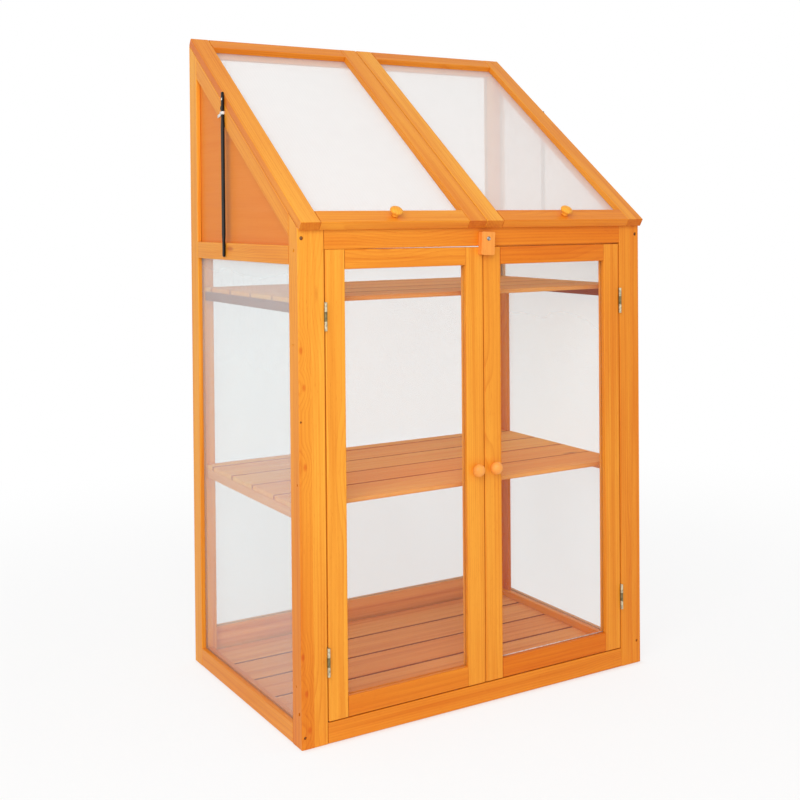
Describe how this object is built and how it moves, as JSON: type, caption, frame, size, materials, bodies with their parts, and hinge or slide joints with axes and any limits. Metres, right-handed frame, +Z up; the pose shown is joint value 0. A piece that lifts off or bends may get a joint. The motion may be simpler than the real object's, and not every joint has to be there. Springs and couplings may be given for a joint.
{
  "type": "wooden mini greenhouse",
  "caption": "Tall glazed cold frame of varnished softwood with a sloping roof of hinged lids, front doors and slatted shelves behind clear twin-wall sheets.",
  "frame": {"origin": "on the ground, at the middle of the box around the closed greenhouse", "axes": "+Z up, +Y towards the tall back, +X to the right of someone who faces the doors"},
  "size_m": [0.709, 0.5256, 1.2004],
  "materials": {
    "pine": "honey-orange varnish over softwood with grain and a few knots",
    "gable_board": "stained plywood, satin",
    "slats": "thin lightly stained softwood boards, matt",
    "clear_sheet": "translucent twin-wall polycarbonate with fine upright ribs",
    "zinc": "zinc-plated rolled hinge steel",
    "black_metal": "black powder coat"
  },
  "bodies": {
    "root": {"front_post_left": "pine", "front_post_right": "pine", "rear_post_left": "pine", "rear_post_right": "pine", "side_low_rail_left": "pine", "side_low_rail_right": "pine", "side_mid_rail_left": "pine", "side_mid_rail_right": "pine", "gable_rail_left": "pine", "gable_rail_right": "pine", "gable_panel_left": "gable_board", "gable_panel_right": "clear_sheet", "side_sheet_left": "clear_sheet", "side_sheet_right": "clear_sheet", "back_low_rail": "pine", "back_top_rail": "pine", "back_sheet": "clear_sheet", "sill": "pine", "header": "pine", "floor": "slats", "shelf_lower": "slats", "shelf_upper": "slats", "lid_hinge_fixed_strip": "zinc", "door_hinge_post_half_low_left": "zinc", "door_hinge_post_half_high_left": "zinc", "door_hinge_post_half_low_right": "zinc", "door_hinge_post_half_high_right": "zinc"},
    "door_left": {"door_hinge_stile_left": "pine", "door_meeting_stile_left": "pine", "door_low_rail_left": "pine", "door_top_rail_left": "pine", "door_sheet_left": "clear_sheet", "door_knob_left": "pine", "door_hinge_door_half_low_left": "zinc", "door_hinge_door_half_high_left": "zinc"},
    "door_right": {"door_hinge_stile_right": "pine", "door_meeting_stile_right": "pine", "door_low_rail_right": "pine", "door_top_rail_right": "pine", "door_sheet_right": "clear_sheet", "door_knob_right": "pine", "door_hinge_door_half_low_right": "zinc", "door_hinge_door_half_high_right": "zinc"},
    "lid_left": {"lid_outer_stile_left": "pine", "lid_inner_stile_left": "pine", "lid_low_rail_left": "pine", "lid_top_rail_left": "pine", "lid_sheet_left": "clear_sheet", "lid_knob_left": "pine", "lid_hinge_moving_strip_left": "zinc"},
    "lid_right": {"lid_outer_stile_right": "pine", "lid_inner_stile_right": "pine", "lid_low_rail_right": "pine", "lid_top_rail_right": "pine", "lid_sheet_right": "clear_sheet", "lid_knob_right": "pine", "lid_hinge_moving_strip_right": "zinc"},
    "stay_left": {"lid_stay_left": "black_metal"},
    "stay_right": {"lid_stay_right": "black_metal"},
    "button": {"turn_button": "pine"}
  },
  "joints": [
    {"name": "door_left_hinge", "type": "hinge", "parent": "root", "child": "door_left", "pos_m": [-0.303, -0.2453, 0.4], "axis": [0, 0, -1], "range_deg": [0, 175]},
    {"name": "door_right_hinge", "type": "hinge", "parent": "root", "child": "door_right", "pos_m": [0.303, -0.2453, 0.4], "axis": [0, 0, 1], "range_deg": [0, 175]},
    {"name": "lid_left_hinge", "type": "hinge", "parent": "root", "child": "lid_left", "pos_m": [-0.175, 0.2603, 1.18788], "axis": [-1, 0, 0], "range_deg": [0, 110]},
    {"name": "lid_right_hinge", "type": "hinge", "parent": "root", "child": "lid_right", "pos_m": [0.175, 0.2603, 1.18788], "axis": [-1, 0, 0], "range_deg": [0, 110]},
    {"name": "stay_left_pivot", "type": "hinge", "parent": "lid_left", "child": "stay_left", "pos_m": [-0.3525, 0.076, 1.07042], "axis": [1, 0, 0], "range_deg": [-40, 115]},
    {"name": "stay_right_pivot", "type": "hinge", "parent": "lid_right", "child": "stay_right", "pos_m": [0.3525, 0.076, 1.07042], "axis": [1, 0, 0], "range_deg": [-40, 115]},
    {"name": "turn_button_pivot", "type": "hinge", "parent": "root", "child": "button", "pos_m": [0.004, -0.2488, 0.817], "axis": [0, 1, 0], "range_deg": [-90, 90]}
  ]
}
